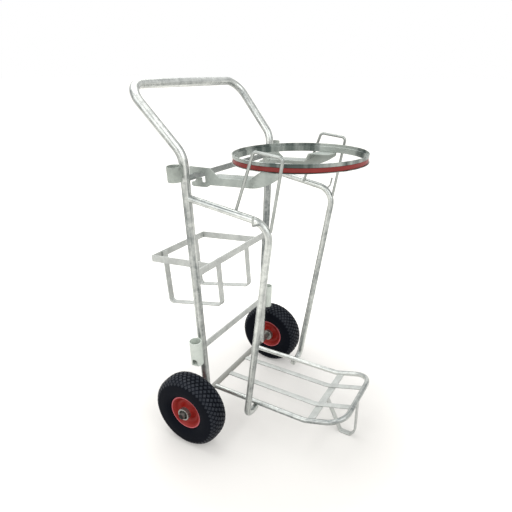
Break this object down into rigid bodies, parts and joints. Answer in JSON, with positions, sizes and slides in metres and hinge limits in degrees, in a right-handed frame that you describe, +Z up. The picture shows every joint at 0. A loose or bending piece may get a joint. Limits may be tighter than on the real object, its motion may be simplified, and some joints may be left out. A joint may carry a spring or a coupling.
{
  "type": "street cleaning bag trolley",
  "caption": "Two-wheeled galvanised tube trolley that holds a litter bag open in a ring above a low platform, with broom clips and a rear basket.",
  "frame": {"origin": "on the floor, in the middle of the length and width of the whole cart", "axes": "+Z up, +Y towards the handle and the basket, -Y towards the nose, X across along the axle"},
  "size_m": [0.7, 0.7616, 1.1968],
  "materials": {
    "galvanised_tube": "hot-dip galvanised, satin",
    "galvanised_bar": "hot-dip galvanised, satin",
    "galvanised_rod": "hot-dip galvanised, satin",
    "galvanised_fitting": "hot-dip galvanised, satin",
    "galvanised_sheet": "hot-dip galvanised, satin",
    "red_rubber": "satin",
    "tyre_rubber": "matte",
    "red_rim": "gloss enamel",
    "hub_steel": "zinc plated",
    "bearing_plastic": "matte"
  },
  "bodies": {
    "root": {"handle_frame_tube": "galvanised_tube", "side_tube_left": "galvanised_tube", "side_tube_right": "galvanised_tube", "platform_tube": "galvanised_tube", "axle_tube": "galvanised_tube", "upper_crossbar": "galvanised_bar", "lower_crossbar": "galvanised_bar", "platform_slat_left": "galvanised_bar", "platform_slat_right": "galvanised_bar", "platform_cross_strip": "galvanised_bar", "front_foot": "galvanised_bar", "basket_front_bar": "galvanised_bar", "basket_rear_bar": "galvanised_bar", "basket_side_bar_left": "galvanised_bar", "basket_side_bar_right": "galvanised_bar", "basket_hoop_left": "galvanised_bar", "basket_hoop_right": "galvanised_bar", "wire_hoop_left": "galvanised_rod", "wire_hoop_right": "galvanised_rod", "tool_hook_left": "galvanised_rod", "tool_hook_right": "galvanised_rod", "broom_clip_left": "galvanised_fitting", "broom_clip_right": "galvanised_fitting", "broom_cup_left": "galvanised_fitting", "broom_cup_right": "galvanised_fitting", "axle_collar_left": "hub_steel", "outer_washer_left": "hub_steel", "split_pin_left": "hub_steel", "axle_collar_right": "hub_steel", "outer_washer_right": "hub_steel", "split_pin_right": "hub_steel"},
    "wheel_left": {"tyre_left": "tyre_rubber", "rim_outer_left": "red_rim", "rim_inner_left": "red_rim", "hub_tube_left": "hub_steel", "bearing_outer_left": "bearing_plastic", "bearing_inner_left": "bearing_plastic"},
    "wheel_right": {"tyre_right": "tyre_rubber", "rim_outer_right": "red_rim", "rim_inner_right": "red_rim", "hub_tube_right": "hub_steel", "bearing_outer_right": "bearing_plastic", "bearing_inner_right": "bearing_plastic"},
    "ring_carrier": {"carrier_arm_left": "galvanised_sheet", "carrier_arm_right": "galvanised_sheet", "bag_ring": "galvanised_sheet", "rubber_band": "red_rubber"}
  },
  "joints": [
    {"name": "wheel_left_spin", "type": "hinge", "parent": "root", "child": "wheel_left", "pos_m": [-0.295, 0.12682, 0.13], "axis": [1, 0, 0], "continuous": true},
    {"name": "wheel_right_spin", "type": "hinge", "parent": "root", "child": "wheel_right", "pos_m": [0.295, 0.12682, 0.13], "axis": [1, 0, 0], "continuous": true},
    {"name": "ring_carrier_tilt", "type": "hinge", "parent": "root", "child": "ring_carrier", "pos_m": [0, 0.12682, 0.926], "axis": [-1, 0, 0], "range_deg": [0, 20]}
  ]
}
